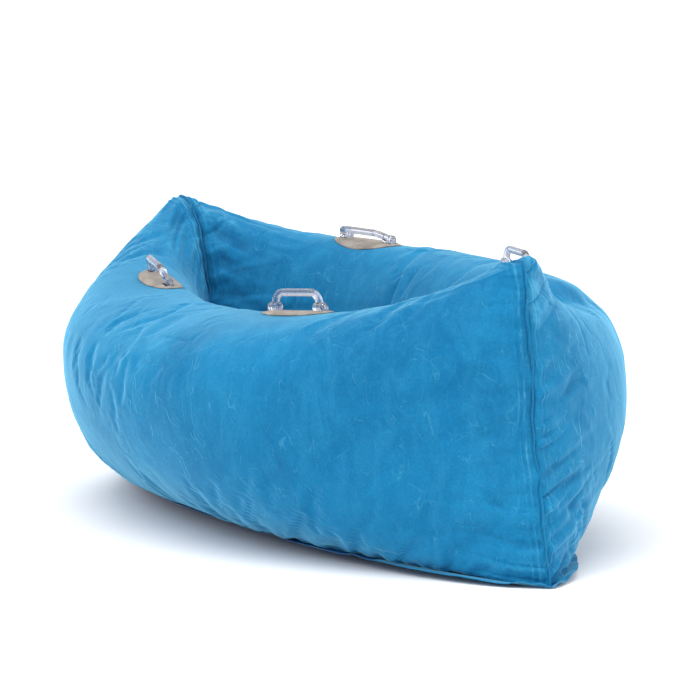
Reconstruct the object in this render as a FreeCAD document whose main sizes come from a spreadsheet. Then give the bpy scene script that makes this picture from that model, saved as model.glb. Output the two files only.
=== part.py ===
import FreeCAD, Part
import math
import os
import Sketcher

from FreeCAD import Placement, Rotation, Vector

# Inflatable pea-pod lounge chair: two tall air-filled side walls that meet at a bow
# and a stern seam, round a deep well with a padded floor.  Millimetres.
# +X points to the bow, +Y to port, +Z up; the origin is on the floor under the middle.

os.makedirs("parts", exist_ok=True)
doc = FreeCAD.newDocument("pea_pod_chair")

# ---------------------------------------------------------------- driving sizes
SIZES = [
    ("base_half_length", 732, "half length of the base panel, middle to seam"),
    ("tip_half_length", 630, "half length at the top of the bow and stern seams"),
    ("tip_rounding", 20, "how far the tips are rounded back from the seam's straight line"),
    ("base_half_width", 220, "half width of the base panel at the middle"),
    ("bulge_half_width", 413, "half width at the widest height"),
    ("crest_half_width", 222, "half width at the rim's crest"),
    ("crest_height", 432, "height of the port rim at the middle"),
    ("tip_height", 494, "height of the bow and stern tips"),
    ("starboard_sag", 58, "how much lower the starboard rim lies at the middle"),
    ("bulge_level", 0.7, "height of the widest point over the rim's height"),
    ("base_start_angle", 68, "angle below the widest point where the base begins"),
    ("plan_fullness", 2.4, "power of the length ratio in the plan outline"),
    ("plan_rounding", 1.28, "root taken in the plan outline"),
    ("tip_sheer", 6.0, "power with which the rim climbs to the tips"),
    ("well_half_width", 112, "half width of the well where the walls are closest"),
    ("well_half_length", 486, "half length of the well at the same height"),
    ("well_level", 0.52, "height of that place over the rim's height"),
    ("floor_half_width", 152, "half width of the well floor"),
    ("floor_half_length", 516, "half length of the well floor"),
    ("floor_height", 64, "height of the well floor's top"),
    ("floor_end_angle", 62, "angle below the closest place where the floor begins"),
    ("outer_split_near", 0.23, "where the outer sheet's middle length ends, share of half length"),
    ("outer_split_far", 0.70, "where its end lengths start, share of half length"),
    ("well_split", 0.34, "where the well sheet's middle length ends, share of half length"),
    ("well_weld_turn", 1.62, "weld of outer panel to well panel, 1 at the crest, 2 at the floor"),
    ("skin_thick", 1.0, "flocked film: 0.4 film and 0.6 pile"),
    ("base_thick", 1.2, "base film with its welded flange"),
    ("flange_width", 20, "flange outside the base weld"),
    ("seam_thick", 1.2, "two film edges welded face to face at the bow and stern"),
    ("seam_lip", 5, "seam tape standing outside the skin"),
    ("seam_tail", 7, "seam tape inside the skin"),
    ("weld_gap", 0.2, "clearance at a welded edge"),
    ("web_thick", 0.5, "film of the internal tension webs"),
    ("upper_web_level", 315, "height of the upper side webs"),
    ("lower_web_level", 165, "height of the lower side webs"),
    ("web_reach", 0.78, "how far along the wall a side web runs"),
    ("web_vent_radius", 24, "air hole in a side web"),
    ("floor_web_spacing", 88, "distance between floor webs"),
    ("floor_web_length", 620, "length of the middle floor web"),
    ("handle_station", 0.425, "handle place along the rim over the half length"),
    ("patch_border", 8, "how far the handle patch runs on past its anchor's ends"),
    ("patch_half_width", 34, "handle patch, half of its short axis"),
    ("patch_thick", 1.1, "film of the handle patch"),
    ("patch_rise", 3.3, "how far the anchor lifts the middle of the patch"),
    ("anchor_end", 3.5, "how far the anchor plate runs on past its ears"),
    ("anchor_half_width", 17, "anchor plate, half of its short axis"),
    ("anchor_thick", 1.6, "anchor plate"),
    ("grip_span", 116, "distance between the centres of the grip's feet"),
    ("grip_rise", 23, "grip height from its pivots to the centre of its bar"),
    ("grip_radius", 6.2, "radius of the grip's bar"),
    ("grip_bend", 21, "centre-line radius of the grip's two corners"),
    ("knuckle_radius", 7.5, "radius of the grip's foot knuckle"),
    ("knuckle_length", 20, "length of the knuckle along the pivots"),
    ("pivot_height", 10.5, "pivots above the skin"),
    ("pivot_radius", 2.8, "radius of the grip's pivot pins"),
    ("pivot_clearance", 0.3, "gap round and beside a pivot"),
    ("ear_thick", 4, "anchor ear along the pivots"),
    ("ear_width", 11, "anchor ear across the pivots"),
    ("ear_root", 0.5, "how far an ear is sunk in its plate"),
    ("valve_station", 0.6, "valve place along the port side, towards the stern"),
    ("valve_turn", 0.36, "valve place up the outside of the wall, 0 at the base, 1 at the crest"),
    ("valve_bore_radius", 15, "radius of the air way"),
    ("valve_wall", 2.2, "wall of the valve tube"),
    ("valve_flange_radius", 31, "radius of the welded valve flange"),
    ("valve_flange_thick", 1.5, "thickness of the valve flange"),
    ("valve_collar", 6, "height of the valve's collar outside the flange"),
    ("valve_depth", 16, "length of the valve tube inside the skin"),
    ("valve_ring_radius", 40, "radius of the backing ring under the flange"),
    ("cap_radius", 19.5, "radius of the valve cap"),
    ("cap_thick", 2.4, "thickness of the cap's top"),
    ("cap_nose_radius", 13, "radius of the nose that goes into the air way"),
    ("cap_nose_depth", 7, "depth of the nose"),
    ("cap_hinge_reach", 25, "distance from the cap's centre to its hinge"),
    ("cap_hinge_radius", 2.6, "radius of the cap's hinge knuckle"),
    ("cap_pin_radius", 1.3, "radius of the cap's hinge pins"),
    ("cap_hinge_width", 9, "width of the cap's hinge knuckle"),
    ("cap_lug_thick", 2.5, "thickness of each hinge lug on the valve"),
    ("flap_thick", 1.0, "check flap"),
    ("flap_roll_radius", 1.0, "rolled edge that the check flap turns on"),
    ("flap_roll_drop", 1.2, "axis of the rolled edge below the flap's top face"),
    ("flap_roll_length", 9, "rolled edge along its axis"),
    ("flap_lap", 1.2, "how far the check flap laps over the tube's end"),
]

sizes = doc.addObject("Spreadsheet::Sheet", "sizes")
for row, (alias, number, meaning) in enumerate(SIZES, start=1):
    sizes.set("A%d" % row, meaning)
    sizes.set("B%d" % row, str(number))
    sizes.setAlias("B%d" % row, alias)
doc.recompute()

size = {alias: float(sizes.get(alias)) for alias, number, meaning in SIZES}
bow, port, starboard = 0.0, 1, -1
parts = {}


# ---------------------------------------------------------------- wall shape
def rim_height(side, c):
    """Height of the rim's crest at length ratio c, from -1 at the stern to 1 at the bow."""
    climb = (size["tip_height"] - size["crest_height"]) * abs(c) ** size["tip_sheer"]
    sag = size["starboard_sag"] * (1 - c * c) if side == starboard else 0
    return size["crest_height"] + climb - sag


def blend(first, last, share):
    return first + (last - first) * share


def wall_section(side, c, turn):
    """Half length, half width and height of the wall's skin.

    turn runs 0 to 1 up the outside, from the base weld to the crest, and 1 to 2 down
    the inside, from the crest to the well floor.
    """
    top = rim_height(side, c)
    if turn <= 1:
        start = math.radians(size["base_start_angle"])
        angle = blend(-start, math.pi / 2, turn)
        level = size["bulge_level"] * top
        bulge = size["bulge_half_width"]
        if angle < 0:
            share = (1 - math.cos(angle)) / (1 - math.cos(start))
            height = blend(level, size["base_thick"], -math.sin(angle) / math.sin(start))
            half_width = blend(bulge, size["base_half_width"], share)
        else:
            height = blend(level, top, math.sin(angle))
            half_width = blend(bulge, size["crest_half_width"], 1 - math.cos(angle))
        rake = size["tip_half_length"] + size["tip_rounding"]
        half_length = blend(size["base_half_length"], rake, height / top)
        if angle > 0:
            half_length -= size["tip_rounding"] * (1 - math.cos(angle)) ** 2
        return half_length, half_width, height
    end = math.radians(size["floor_end_angle"])
    angle = blend(math.pi / 2, -end, turn - 1)
    level = size["well_level"] * top
    if angle > 0:
        share = 1 - math.cos(angle)
        height = blend(level, top, math.sin(angle))
        half_width = blend(size["well_half_width"], size["crest_half_width"], share)
        half_length = blend(size["well_half_length"], size["tip_half_length"], share)
    else:
        share = (1 - math.cos(angle)) / (1 - math.cos(end))
        height = blend(level, size["floor_height"], -math.sin(angle) / math.sin(end))
        half_width = blend(size["well_half_width"], size["floor_half_width"], share)
        half_length = blend(size["well_half_length"], size["floor_half_length"], share)
    return half_length, half_width, height


def plan_width(c):
    """Share of the half width that is left at length ratio c."""
    return (1 - min(1, abs(c)) ** size["plan_fullness"]) ** (1 / size["plan_rounding"])


def wall_point(side, theta, turn):
    """Point of the skin; theta is 0 at the bow seam and pi at the stern seam."""
    c = math.cos(theta)
    half_length, half_width, height = wall_section(side, c, turn)
    edge = size["seam_thick"] / 2 + size["weld_gap"]
    return Vector(half_length * c, side * (edge + half_width * plan_width(c)), height)


def wall_normal(side, theta, turn):
    """Unit vector out of the air chamber.  At a seam it stays in the seam's plane."""
    step = 0.01
    ahead = min(theta + step, math.pi)
    behind = max(theta - step, 0)
    along = wall_point(side, ahead, turn) - wall_point(side, behind, turn)
    upper = min(turn + step, 2)
    lower = max(turn - step, 0)
    around = wall_point(side, theta, upper) - wall_point(side, theta, lower)
    if min(theta, math.pi - theta) < 1e-6:
        along = Vector(0, side * math.cos(theta), 0)
    return (along.cross(around) * side).normalize()


def skin_solid(side, thetas, turns, inside, outside):
    """Sheet that follows the wall between two offsets, each a number or a function."""
    skins = []
    for offset in (outside, inside):
        rows = []
        for theta in thetas:
            row = []
            for turn in turns:
                away = offset(theta, turn) if callable(offset) else offset
                row.append(wall_point(side, theta, turn) + wall_normal(side, theta, turn) * away)
            rows.append(row)
        skin = Part.BSplineSurface()
        skin.interpolate(rows)
        skins.append(skin)
    faces = [skin.toShape() for skin in skins]
    limits = skins[0].bounds()
    for cut, ends in (("uIso", limits[0:2]), ("vIso", limits[2:4])):
        for end in ends:
            rims = [Part.Wire([getattr(skin, cut)(end).toShape()]) for skin in skins]
            faces += Part.makeLoft(rims, False, True).Faces
    shell = Part.makeShell(faces)
    shell.sewShape()
    solid = Part.makeSolid(Part.Shell(shell.Faces))
    if solid.Volume < 0:
        solid.reverse()
    return solid


def steps(first, last, count):
    return [blend(first, last, index / (count - 1)) for index in range(count)]


# ---------------------------------------------------------------- document helpers
def keep(name, item):
    """Name a sub-part: its Label is its node and file name."""
    item.Label = name
    parts[name] = item
    return item


def made(name, shape):
    item = doc.addObject("Part::Feature", name)
    item.Shape = shape
    return item


def extruded(name, face, direction, length):
    """Sheet of the named thickness drawn out of a flat face."""
    item = doc.addObject("Part::Extrusion", name)
    item.Base = made(name + "_outline", face)
    item.DirMode = "Custom"
    item.Dir = direction
    item.Symmetric = False
    item.setExpression("LengthFwd", length)
    return item


def boolean(kind, name, **links):
    item = doc.addObject(kind, name)
    for link, target in links.items():
        setattr(item, link, target)
    return item


def primitive(kind, name, place, **bound):
    item = doc.addObject(kind, name)
    for prop, formula in bound.items():
        item.setExpression(prop, formula)
    item.Placement = place
    return item


def origin_plane(body, role):
    return [item for item in body.Origin.OriginFeatures if item.Role == role][0]


def new_sketch(body, name, role):
    sketch = body.newObject("Sketcher::SketchObject", name)
    sketch.AttachmentSupport = [(origin_plane(body, role), "")]
    sketch.MapMode = "FlatFace"
    return sketch


# ---------------------------------------------------------------- skins of the walls
SEAM_STATIONS = 49
LENGTH_STATIONS = 21
WEB_STATIONS = 31


def wall_panels(side, name, cut=None):
    """Outer sheet, wrapped over the rim into the well, in five lengths that meet edge to
    edge, and the well sheet below it in three."""
    weld = size["well_weld_turn"]
    gap = 0.002
    near = math.acos(size["outer_split_near"])
    far = math.acos(size["outer_split_far"])
    inner = math.acos(size["well_split"])
    outer_ends = (0, far, near, math.pi - near, math.pi - far, math.pi)
    well_ends = (0, inner, math.pi - inner, math.pi)
    sheets = (
        ("outer", ("bow", "fore", "mid", "aft", "stern"), outer_ends, steps(0, weld - gap, 33)),
        ("well", ("fore", "mid", "aft"), well_ends, steps(weld, 2, 13)),
    )
    for sheet, tags, ends, turns in sheets:
        for tag, first, last in zip(tags, ends, ends[1:]):
            thetas = steps(first, last, LENGTH_STATIONS)
            panel = skin_solid(side, thetas, turns, -size["skin_thick"], 0)
            if cut is not None and sheet == "outer" and tag == "aft":
                panel = panel.cut(cut)
            label = "%s_%s_panel_%s" % (name, sheet, tag)
            keep(label, made(label, panel))


def local_frame(side, theta, turn, above):
    """Placement with X along the wall towards the bow, Z out of the skin."""
    out = wall_normal(side, theta, turn)
    along = wall_point(side, theta - 0.01, turn) - wall_point(side, theta + 0.01, turn)
    along = (along - out * along.dot(out)).normalize()
    across = out.cross(along)
    turned = Rotation(along, across, out, "ZXY")
    return Placement(wall_point(side, theta, turn) + out * above, turned)


valve_theta = math.acos(-size["valve_station"])
valve_frame = local_frame(port, valve_theta, size["valve_turn"], 0)
tube_radius = size["valve_bore_radius"] + size["valve_wall"]
valve_hole = Part.makeCylinder(
    tube_radius + size["weld_gap"],
    2 * size["valve_depth"],
    Vector(0, 0, -size["valve_depth"]),
)
valve_hole.Placement = valve_frame.multiply(valve_hole.Placement)

wall_panels(port, "port", valve_hole)
wall_panels(starboard, "starboard")


# ---------------------------------------------------------------- base and well floor
def plan_outline(half_length, half_width, widen, level):
    """Closed flat face: the plan outline, moved outwards by widen."""
    rim = []
    for theta in steps(0, math.pi, SEAM_STATIONS):
        c = math.cos(theta)
        rim.append(Vector(half_length * c, half_width * plan_width(c), level))
    moved = []
    for index, point in enumerate(rim):
        before = rim[max(index - 1, 0)]
        after = rim[min(index + 1, len(rim) - 1)]
        along = after - before
        out = Vector(along.y, -along.x, 0).normalize()
        if index in (0, len(rim) - 1):
            out = Vector(1 if index == 0 else -1, 0, 0)
        moved.append(point + out * widen)
    upper = Part.BSplineCurve()
    upper.interpolate(moved)
    lower = Part.BSplineCurve()
    lower.interpolate([Vector(point.x, -point.y, point.z) for point in moved])
    return Part.Face(Part.Wire([upper.toShape(), lower.toShape()]))


base_face = plan_outline(
    size["base_half_length"], size["base_half_width"], size["flange_width"], 0
)
keep("base_panel", extruded("base_panel", base_face, Vector(0, 0, 1), "sizes.base_thick"))

floor_face = plan_outline(
    size["floor_half_length"] - size["skin_thick"] - size["weld_gap"],
    size["floor_half_width"] - size["skin_thick"] - size["weld_gap"],
    0,
    size["floor_height"],
)
keep(
    "well_floor_panel",
    extruded("well_floor_panel", floor_face, Vector(0, 0, -1), "sizes.skin_thick"),
)


# ---------------------------------------------------------------- bow and stern seams
def seam_face(theta):
    """Band in the seam plane that follows the wall's section all the way round."""
    outside = []
    inside = []
    for turn in steps(0, 2, 41):
        point = wall_point(port, theta, turn)
        out = wall_normal(port, theta, turn)
        point.y = -size["seam_thick"] / 2
        outside.append(point + out * size["seam_lip"])
        inside.append(point - out * size["seam_tail"])
    loop = []
    for row in (outside, inside):
        curve = Part.BSplineCurve()
        curve.interpolate(row)
        loop.append(curve.toShape())
    ends = [Part.makeLine(outside[end], inside[end]) for end in (0, -1)]
    return Part.Face(Part.Wire(Part.__sortEdges__(loop + ends)))


for name, theta in (("bow_seam_tape", 0.0), ("stern_seam_tape", math.pi)):
    band = extruded(name + "_band", seam_face(theta), Vector(0, 1, 0), "sizes.seam_thick")
    room = Part.makeBox(
        2 * size["base_half_length"] + 100,
        10,
        size["tip_height"] + 100,
        Vector(-size["base_half_length"] - 50, -5, size["base_thick"] + size["weld_gap"]),
    )
    keep(name, boolean("Part::Common", name, Base=band, Tool=made(name + "_room", room)))


# ---------------------------------------------------------------- tension webs
def turn_at(side, theta, level, first, last):
    """Turn of the section between first and last where the skin is at this height."""
    rising = wall_point(side, theta, first).z < wall_point(side, theta, last).z
    for count in range(40):
        middle = (first + last) / 2
        if (wall_point(side, theta, middle).z < level) == rising:
            first = middle
        else:
            last = middle
    return middle


def side_web(side, name, level_name):
    """Flat web across the wall's air chamber, from the outer to the inner skin."""
    level = size[level_name]
    reach = size["web_reach"]
    inset = size["skin_thick"] + size["weld_gap"]
    rows = []
    for first, last in ((0.0, 1.0), (1.0, 2.0)):
        row = []
        for theta in steps(math.acos(reach), math.acos(-reach), WEB_STATIONS):
            turn = turn_at(side, theta, level, first, last)
            out = wall_normal(side, theta, turn)
            tilt = math.hypot(out.x, out.y)
            flat = Vector(out.x, out.y, 0) * (1 / tilt)
            point = wall_point(side, theta, turn) - flat * (inset / tilt)
            row.append(Vector(point.x, point.y, level))
        rows.append(row)
    curves = []
    for row in rows:
        curve = Part.BSplineCurve()
        curve.interpolate(row)
        curves.append(curve.toShape())
    ends = [Part.makeLine(rows[0][end], rows[1][end]) for end in (0, -1)]
    face = Part.Face(Part.Wire(Part.__sortEdges__(curves + ends)))
    for quarter in (1, 2, 3):
        station = quarter * (WEB_STATIONS - 1) // 4
        middle = (rows[0][station] + rows[1][station]) * 0.5
        vent = Part.Face(Part.Wire(Part.makeCircle(size["web_vent_radius"], middle)))
        face = face.cut(vent)
    return keep(name, extruded(name, face.Faces[0], Vector(0, 0, 1), "sizes.web_thick"))


for side, side_name in ((port, "port"), (starboard, "starboard")):
    side_web(side, side_name + "_upper_web", "upper_web_level")
    side_web(side, side_name + "_lower_web", "lower_web_level")

for name, lane in (("port", 1), ("middle", 0), ("starboard", -1)):
    web = doc.addObject("Part::Box", name + "_floor_web")
    length = "sizes.floor_web_length - %d * sizes.floor_web_spacing" % abs(lane)
    web.setExpression("Length", length)
    web.setExpression("Width", "sizes.web_thick")
    gap = "sizes.weld_gap"
    web.setExpression(
        "Height", "sizes.floor_height - sizes.skin_thick - sizes.base_thick - 2 * " + gap
    )
    web.setExpression("Placement.Base.x", "-(%s) / 2" % length)
    web.setExpression(
        "Placement.Base.y", "%d * sizes.floor_web_spacing - sizes.web_thick / 2" % lane
    )
    web.setExpression("Placement.Base.z", "sizes.base_thick + " + gap)
    keep(name + "_floor_web", web)


# ---------------------------------------------------------------- handles
def oval_sheet(side, theta, turn, half_length, half_width, low, thick):
    """Oval sheet that lies along the skin; low is its underside's height above it."""
    margin = 14
    step = 0.01
    middle = wall_point(side, theta, turn)
    pace_along = (wall_point(side, theta + step, turn) - middle).Length / step
    pace_up = (wall_point(side, theta, turn + step) - middle).Length / step
    pace_down = (wall_point(side, theta, turn - step) - middle).Length / step
    frame = local_frame(side, theta, turn, 0)
    inverse = frame.inverse()

    def underside(at_theta, at_turn):
        spot = inverse.multVec(wall_point(side, at_theta, at_turn))
        return low(math.hypot(spot.x / half_length, spot.y / half_width))

    def topside(at_theta, at_turn):
        return underside(at_theta, at_turn) + thick

    reach = (half_length + margin) / pace_along
    thetas = steps(theta - reach, theta + reach, 17)
    first = turn - (half_width + margin) / pace_down
    last = turn + (half_width + margin) / pace_up
    sheet_shape = skin_solid(side, thetas, steps(first, last, 15), underside, topside)
    oval = Part.Ellipse(Vector(0, 0, 0), half_length, half_width).toShape()
    prism = Part.Face(Part.Wire([oval])).extrude(Vector(0, 0, 80))
    prism.translate(Vector(0, 0, -40))
    prism.Placement = frame.multiply(prism.Placement)
    return sheet_shape.common(prism)


def close_fit(radius):
    """An oval sheet that lies flat on the skin all over."""
    return size["weld_gap"]


def domed_fit(radius):
    """An oval sheet that rises over the anchor in its middle."""
    rise = size["patch_rise"] * (1 - min(radius, 1) ** 8)
    return size["weld_gap"] / 2 + rise


def block(name, frame, length, width, height, centre):
    """Part::Box of bound sizes about a centre given in the frame's own axes."""
    item = primitive("Part::Box", name, frame, Length=length, Width=width, Height=height)
    doc.recompute()
    half = Vector(item.Length.Value, item.Width.Value, item.Height.Value) * 0.5
    item.Placement = frame.multiply(Placement(centre - half, Rotation()))
    return item


def rod(name, frame, radius, length, start, axis):
    """Part::Cylinder of bound sizes from a start point along one of the frame's axes."""
    turned = Rotation(Vector(0, 0, 1), axis)
    place = frame.multiply(Placement(start, turned))
    return primitive("Part::Cylinder", name, place, Radius=radius, Height=length)


ear_reach = (
    (size["grip_span"] + size["knuckle_length"]) / 2 + size["pivot_clearance"] + size["ear_thick"]
)
anchor_half_length = ear_reach + size["anchor_end"]
patch_half_length = anchor_half_length + size["patch_border"]


def anchor(side, theta, name):
    """Plate on the skin with two ears that hold the grip's pivot pins."""
    frame = local_frame(side, theta, 1, 0)
    plate = oval_sheet(
        side, theta, 1, anchor_half_length, size["anchor_half_width"],
        close_fit, size["anchor_thick"],
    )
    solids = [made(name + "_plate", plate)]
    bores = []
    for hand, tag in ((-1, "aft"), (1, "fore")):
        inner = hand * (size["grip_span"] + size["knuckle_length"]) / 2
        inner += hand * size["pivot_clearance"]
        outer = inner + hand * size["ear_thick"]
        low = size["anchor_thick"] - size["ear_root"]
        solids.append(
            block(
                "%s_%s_ear" % (name, tag), frame, "sizes.ear_thick", "sizes.ear_width",
                "sizes.pivot_height - sizes.anchor_thick + sizes.ear_root",
                Vector((inner + outer) / 2, 0, (low + size["pivot_height"]) / 2),
            )
        )
        left = min(inner, outer)
        solids.append(
            rod(
                "%s_%s_cheek" % (name, tag), frame, "sizes.ear_width / 2", "sizes.ear_thick",
                Vector(left, 0, size["pivot_height"]), Vector(1, 0, 0),
            )
        )
        bores.append(
            rod(
                "%s_%s_bore" % (name, tag), frame,
                "sizes.pivot_radius + sizes.pivot_clearance", "sizes.ear_thick + 2",
                Vector(left - 1, 0, size["pivot_height"]), Vector(1, 0, 0),
            )
        )
    whole = boolean("Part::MultiFuse", name + "_blank", Shapes=solids)
    holes = boolean("Part::MultiFuse", name + "_bores", Shapes=bores)
    return keep(name, boolean("Part::Cut", name, Base=whole, Tool=holes))


def patch(side, theta, name):
    """Oval patch welded over the anchor, with a slot for each foot of the grip."""
    frame = local_frame(side, theta, 1, 0)
    oval = oval_sheet(
        side, theta, 1, patch_half_length, size["patch_half_width"],
        domed_fit, size["patch_thick"],
    )
    length = "sizes.knuckle_length + sizes.ear_thick + 6 * sizes.pivot_clearance"
    middle = (size["grip_span"] + size["ear_thick"]) / 2 + size["pivot_clearance"]
    slots = []
    for hand, tag in ((-1, "aft"), (1, "fore")):
        slots.append(
            block(
                "%s_%s_slot" % (name, tag), frame, length,
                "2 * sizes.knuckle_radius + 4 * sizes.pivot_clearance", "40",
                Vector(hand * middle, 0, 15),
            )
        )
    holes = boolean("Part::MultiFuse", name + "_slots", Shapes=slots)
    return keep(name, boolean("Part::Cut", name, Base=made(name + "_oval", oval), Tool=holes))


def grip(side, theta, lean, name):
    """Moulded arch with a knuckle and a pivot pin on each foot."""
    body = doc.addObject("PartDesign::Body", name)
    half = size["grip_span"] / 2
    path = new_sketch(body, name + "_path", "XZ_Plane")
    rise = size["grip_rise"]
    bend = size["grip_bend"]
    normal = Vector(0, 0, 1)
    path.addGeometry(Part.LineSegment(Vector(-half, 0, 0), Vector(-half, rise - bend, 0)))
    turn = Part.Circle(Vector(bend - half, rise - bend, 0), normal, bend)
    path.addGeometry(Part.ArcOfCircle(turn, math.pi / 2, math.pi))
    path.addGeometry(Part.LineSegment(Vector(bend - half, rise, 0), Vector(half - bend, rise, 0)))
    turn = Part.Circle(Vector(half - bend, rise - bend, 0), normal, bend)
    path.addGeometry(Part.ArcOfCircle(turn, 0, math.pi / 2))
    path.addGeometry(Part.LineSegment(Vector(half, rise - bend, 0), Vector(half, 0, 0)))
    section = new_sketch(body, name + "_section", "XY_Plane")
    section.addGeometry(Part.Circle(Vector(-half, 0, 0), normal, size["grip_radius"]))
    section.addConstraint(Sketcher.Constraint("Radius", 0, size["grip_radius"]))
    section.setExpression("Constraints[0]", "sizes.grip_radius")
    bar = body.newObject("PartDesign::AdditivePipe", name + "_bar")
    bar.Profile = section
    bar.Spine = (path, [])
    knuckle = size["knuckle_length"]
    pin = size["ear_thick"] + size["pivot_clearance"]
    pin_length = "sizes.knuckle_length + sizes.ear_thick + sizes.pivot_clearance"
    for kind, radius, length, starts in (
        ("knuckle", "sizes.knuckle_radius", "sizes.knuckle_length", (-knuckle / 2, -knuckle / 2)),
        ("pin", "sizes.pivot_radius", pin_length, (-knuckle / 2 - pin, -knuckle / 2)),
    ):
        for foot, start, tag in ((-half, starts[0], "aft"), (half, starts[1], "fore")):
            item = body.newObject("PartDesign::AdditiveCylinder", "%s_%s_%s" % (name, tag, kind))
            item.setExpression("Radius", radius)
            item.setExpression("Height", length)
            item.AttachmentSupport = [(origin_plane(body, "YZ_Plane"), "")]
            item.MapMode = "FlatFace"
            item.AttachmentOffset = Placement(Vector(0, 0, foot + start), Rotation())
    upright = local_frame(side, theta, 1, size["pivot_height"])
    body.Placement = upright.multiply(Placement(Vector(), Rotation(Vector(1, 0, 0), lean)))
    return keep(name, body)


# Positive lean turns the top of a grip towards starboard.
for side, end, name, lean in (
    (port, 1, "port_fore_handle", 0),
    (port, -1, "port_aft_handle", 62),
    (starboard, 1, "starboard_fore_handle", 0),
    (starboard, -1, "starboard_aft_handle", 25),
):
    theta = math.acos(end * size["handle_station"])
    anchor(side, theta, name + "_anchor")
    patch(side, theta, name + "_patch")
    grip(side, theta, lean, name + "_grip")


# ---------------------------------------------------------------- air valve
backing = oval_sheet(
    port, valve_theta, size["valve_turn"], size["valve_ring_radius"],
    size["valve_ring_radius"], close_fit, size["skin_thick"],
)
way_through = rod(
    "valve_ring_hole", valve_frame, "sizes.valve_bore_radius + sizes.valve_wall + sizes.weld_gap",
    "4 * sizes.valve_depth", Vector(0, 0, -2 * size["valve_depth"]), Vector(0, 0, 1),
)
keep(
    "valve_ring",
    boolean("Part::Cut", "valve_ring", Base=made("valve_ring_disc", backing), Tool=way_through),
)

flange_low = size["skin_thick"] + size["weld_gap"]
flange_top = flange_low + size["valve_flange_thick"]
collar_top = flange_top + size["valve_collar"]
hinge_height = collar_top + size["pivot_clearance"] + size["cap_thick"] / 2
up = Vector(0, 0, 1)
solids = [
    rod(
        "valve_flange", valve_frame, "sizes.valve_flange_radius", "sizes.valve_flange_thick",
        Vector(0, 0, flange_low), up,
    ),
    rod(
        "valve_tube", valve_frame, "sizes.valve_bore_radius + sizes.valve_wall",
        "sizes.valve_depth + sizes.skin_thick + sizes.weld_gap + sizes.valve_flange_thick"
        " + sizes.valve_collar",
        Vector(0, 0, -size["valve_depth"]), up,
    ),
]
cuts = [
    rod(
        "valve_air_way", valve_frame, "sizes.valve_bore_radius",
        "3 * sizes.valve_depth", Vector(0, 0, -1.5 * size["valve_depth"]), up,
    )
]
lug_inner = size["cap_hinge_width"] / 2 + size["pivot_clearance"]
for hand, tag in ((-1, "aft"), (1, "fore")):
    middle = hand * (lug_inner + size["cap_lug_thick"] / 2)
    solids.append(
        block(
            "valve_%s_lug" % tag, valve_frame, "sizes.cap_lug_thick",
            "2 * sizes.cap_hinge_radius",
            "sizes.valve_collar + sizes.pivot_clearance + sizes.cap_thick / 2 + 1",
            Vector(middle, size["cap_hinge_reach"], (flange_top - 1 + hinge_height) / 2),
        )
    )
    left = middle - size["cap_lug_thick"] / 2
    solids.append(
        rod(
            "valve_%s_lug_end" % tag, valve_frame, "sizes.cap_hinge_radius",
            "sizes.cap_lug_thick",
            Vector(left, size["cap_hinge_reach"], hinge_height), Vector(1, 0, 0),
        )
    )
    cuts.append(
        rod(
            "valve_%s_lug_bore" % tag, valve_frame,
            "sizes.cap_pin_radius + sizes.pivot_clearance / 2", "sizes.cap_lug_thick + 2",
            Vector(left - 1, size["cap_hinge_reach"], hinge_height), Vector(1, 0, 0),
        )
    )
blank = boolean("Part::MultiFuse", "valve_body_blank", Shapes=solids)
holes = boolean("Part::MultiFuse", "valve_body_holes", Shapes=cuts)
keep("valve_body", boolean("Part::Cut", "valve_body", Base=blank, Tool=holes))

cap_low = collar_top + size["pivot_clearance"]
solids = [
    rod(
        "cap_disc", valve_frame, "sizes.cap_radius", "sizes.cap_thick",
        Vector(0, 0, cap_low), up,
    ),
    rod(
        "cap_nose", valve_frame, "sizes.cap_nose_radius", "sizes.cap_nose_depth + 1",
        Vector(0, 0, cap_low - size["cap_nose_depth"]), up,
    ),
    block(
        "cap_arm", valve_frame, "sizes.cap_hinge_width",
        "sizes.cap_hinge_reach - sizes.cap_radius + 4", "sizes.cap_thick",
        Vector(
            0, (size["cap_hinge_reach"] + size["cap_radius"] - 4) / 2,
            cap_low + size["cap_thick"] / 2,
        ),
    ),
    rod(
        "cap_knuckle", valve_frame, "sizes.cap_hinge_radius", "sizes.cap_hinge_width",
        Vector(-size["cap_hinge_width"] / 2, size["cap_hinge_reach"], hinge_height),
        Vector(1, 0, 0),
    ),
    rod(
        "cap_pin", valve_frame, "sizes.cap_pin_radius",
        "sizes.cap_hinge_width + 2 * (sizes.cap_lug_thick + sizes.pivot_clearance)",
        Vector(
            -lug_inner - size["cap_lug_thick"], size["cap_hinge_reach"], hinge_height
        ),
        Vector(1, 0, 0),
    ),
]
keep("valve_cap", boolean("Part::MultiFuse", "valve_cap", Shapes=solids))

flap_top = -size["valve_depth"] - size["pivot_clearance"]
solids = [
    rod(
        "flap_disc", valve_frame, "sizes.valve_bore_radius + sizes.flap_lap",
        "sizes.flap_thick", Vector(0, 0, flap_top - size["flap_thick"]), up,
    ),
    rod(
        "flap_roll", valve_frame, "sizes.flap_roll_radius", "sizes.flap_roll_length",
        Vector(
            -size["flap_roll_length"] / 2, -(size["valve_bore_radius"] + size["flap_lap"]),
            flap_top - size["flap_roll_drop"],
        ),
        Vector(1, 0, 0),
    ),
]
keep("valve_flap", boolean("Part::MultiFuse", "valve_flap", Shapes=solids))

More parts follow.
